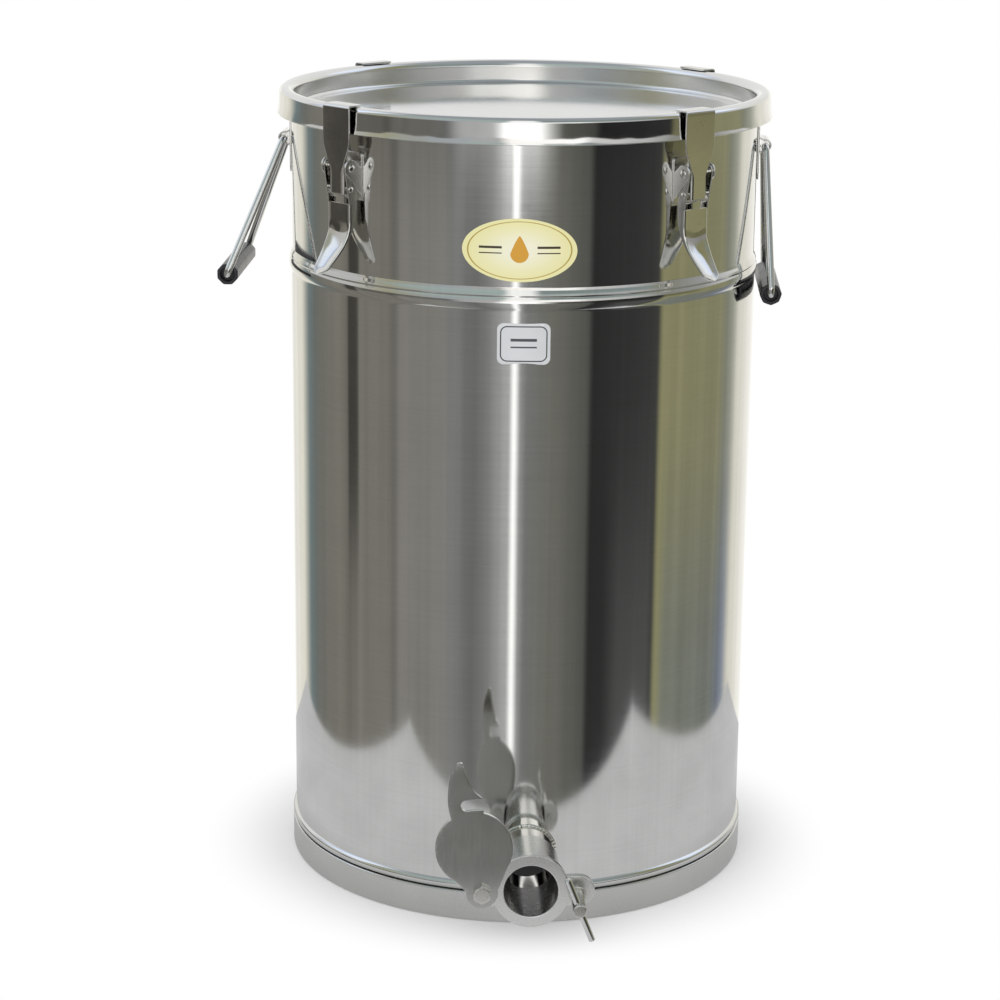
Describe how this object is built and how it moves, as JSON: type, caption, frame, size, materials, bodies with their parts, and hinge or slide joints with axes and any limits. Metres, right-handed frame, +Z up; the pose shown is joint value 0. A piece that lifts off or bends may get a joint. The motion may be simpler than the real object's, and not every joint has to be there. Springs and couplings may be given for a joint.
{
  "type": "honey bottling tank",
  "caption": "Cylindrical stainless steel honey tank with a recessed clamp-on lid, toggle latches, swinging bail handles and a pivoting honey gate at the bottom.",
  "frame": {"origin": "centre of the foot ring's underside, on the floor", "axes": "+Z up along the tank's axis; the honey gate points along -Y; +X is to the right of someone facing the gate"},
  "size_m": [0.4633, 0.5062, 0.6488],
  "materials": {
    "drum_steel": "polished bright, faint vertical rolling lines",
    "lid_steel": "mirror polished",
    "foot_steel": "satin brushed",
    "gate_steel": "satin, turned faces",
    "flap_steel": "satin, faint vertical brushing",
    "latch_steel": "bright pressed sheet",
    "rod_steel": "polished rod",
    "fastener_steel": "machined",
    "grip_black": "moulded, satin",
    "gasket_silicone": "matte silicone",
    "label_yellow": "printed vinyl, plain border and comb motif",
    "label_silver": "silver vinyl, plain"
  },
  "bodies": {
    "tank": {"tank_shell": "drum_steel", "tank_floor": "drum_steel", "foot_ring": "foot_steel", "lid": "lid_steel", "lid_gasket": "gasket_silicone", "outlet_pipe": "gate_steel", "gate_body": "gate_steel", "gate_pivot_bolt": "fastener_steel", "gate_pivot_washer": "fastener_steel", "gate_pivot_nut": "fastener_steel", "gate_stud": "fastener_steel", "oval_label": "label_yellow", "lower_sticker": "label_silver", "left_handle_bracket": "latch_steel", "right_handle_bracket": "latch_steel", "front_left_latch_base": "latch_steel", "front_left_latch_rivet": "fastener_steel", "front_right_latch_base": "latch_steel", "front_right_latch_rivet": "fastener_steel", "rear_right_latch_base": "latch_steel", "rear_right_latch_rivet": "fastener_steel", "rear_left_latch_base": "latch_steel", "rear_left_latch_rivet": "fastener_steel"},
    "left_handle": {"left_bail": "rod_steel", "left_grip": "grip_black"},
    "right_handle": {"right_bail": "rod_steel", "right_grip": "grip_black"},
    "flap": {"gate_flap": "flap_steel"},
    "clamp_washer": {"clamp_washer": "fastener_steel"},
    "clamp_nut": {"clamp_nut": "fastener_steel", "tommy_bar": "fastener_steel"},
    "front_left_lever": {"front_left_latch_lever": "latch_steel", "front_left_hook_pin": "fastener_steel"},
    "front_left_hook": {"front_left_latch_hook": "latch_steel"},
    "front_right_lever": {"front_right_latch_lever": "latch_steel", "front_right_hook_pin": "fastener_steel"},
    "front_right_hook": {"front_right_latch_hook": "latch_steel"},
    "rear_right_lever": {"rear_right_latch_lever": "latch_steel", "rear_right_hook_pin": "fastener_steel"},
    "rear_right_hook": {"rear_right_latch_hook": "latch_steel"},
    "rear_left_lever": {"rear_left_latch_lever": "latch_steel", "rear_left_hook_pin": "fastener_steel"},
    "rear_left_hook": {"rear_left_latch_hook": "latch_steel"}
  },
  "joints": [
    {"name": "left_handle_swing", "type": "hinge", "parent": "tank", "child": "left_handle", "pos_m": [-0.194, 0.01766, 0.6029], "axis": [0.0906, 0.9959, 0], "range_deg": [-18.5, 118]},
    {"name": "right_handle_swing", "type": "hinge", "parent": "tank", "child": "right_handle", "pos_m": [0.1942, -0.01528, 0.6029], "axis": [-0.0785, -0.9969, 0], "range_deg": [-0.5, 136.5]},
    {"name": "gate_flap_turn", "type": "hinge", "parent": "tank", "child": "flap", "pos_m": [-0.038, -0.2685, 0.0593], "axis": [0, -1, 0], "range_deg": [-99.6, 80]},
    {"name": "clamp_travel", "type": "slide", "parent": "tank", "child": "clamp_washer", "axis": [0, 1, 0], "range_m": [-0.001, 0.0034]},
    {"name": "clamp_nut_turn", "type": "hinge", "parent": "clamp_washer", "child": "clamp_nut", "pos_m": [0.0355, -0.29, 0.0593], "axis": [0, 1, 0], "range_deg": [-361, 1226]},
    {"name": "front_left_lever_turn", "type": "hinge", "parent": "tank", "child": "front_left_lever", "pos_m": [-0.14756, -0.13427, 0.601], "axis": [-0.673, 0.7396, 0], "range_deg": [0, 120]},
    {"name": "front_left_hook_turn", "type": "hinge", "parent": "front_left_lever", "child": "front_left_hook", "pos_m": [-0.14719, -0.13393, 0.5845], "axis": [-0.673, 0.7396, 0], "range_deg": [-144.5, 0.5]},
    {"name": "front_right_lever_turn", "type": "hinge", "parent": "tank", "child": "front_right_lever", "pos_m": [0.12419, -0.15613, 0.601], "axis": [-0.7826, -0.6225, 0], "range_deg": [0, 120]},
    {"name": "front_right_hook_turn", "type": "hinge", "parent": "front_right_lever", "child": "front_right_hook", "pos_m": [0.12388, -0.15574, 0.5845], "axis": [-0.7826, -0.6225, 0], "range_deg": [-144.5, 0.5]},
    {"name": "rear_right_lever_turn", "type": "hinge", "parent": "tank", "child": "rear_right_lever", "pos_m": [0.15526, 0.12528, 0.601], "axis": [0.628, -0.7782, 0], "range_deg": [0, 120]},
    {"name": "rear_right_hook_turn", "type": "hinge", "parent": "rear_right_lever", "child": "rear_right_hook", "pos_m": [0.15487, 0.12496, 0.5845], "axis": [0.628, -0.7782, 0], "range_deg": [-144.5, 0.5]},
    {"name": "rear_left_lever_turn", "type": "hinge", "parent": "tank", "child": "rear_left_lever", "pos_m": [-0.12582, 0.15482, 0.601], "axis": [0.776, 0.6307, 0], "range_deg": [0, 120]},
    {"name": "rear_left_hook_turn", "type": "hinge", "parent": "rear_left_lever", "child": "rear_left_hook", "pos_m": [-0.1255, 0.15443, 0.5845], "axis": [0.776, 0.6307, 0], "range_deg": [-144.5, 0.5]}
  ],
  "couplings": [
    {"joint": "clamp_nut_turn", "follows": "clamp_travel", "rad_per_m": 6283.2},
    {"joint": "front_left_hook_turn", "follows": "front_left_lever_turn", "ratio": -1.2},
    {"joint": "front_right_hook_turn", "follows": "front_right_lever_turn", "ratio": -1.2},
    {"joint": "rear_right_hook_turn", "follows": "rear_right_lever_turn", "ratio": -1.2},
    {"joint": "rear_left_hook_turn", "follows": "rear_left_lever_turn", "ratio": -1.2}
  ]
}
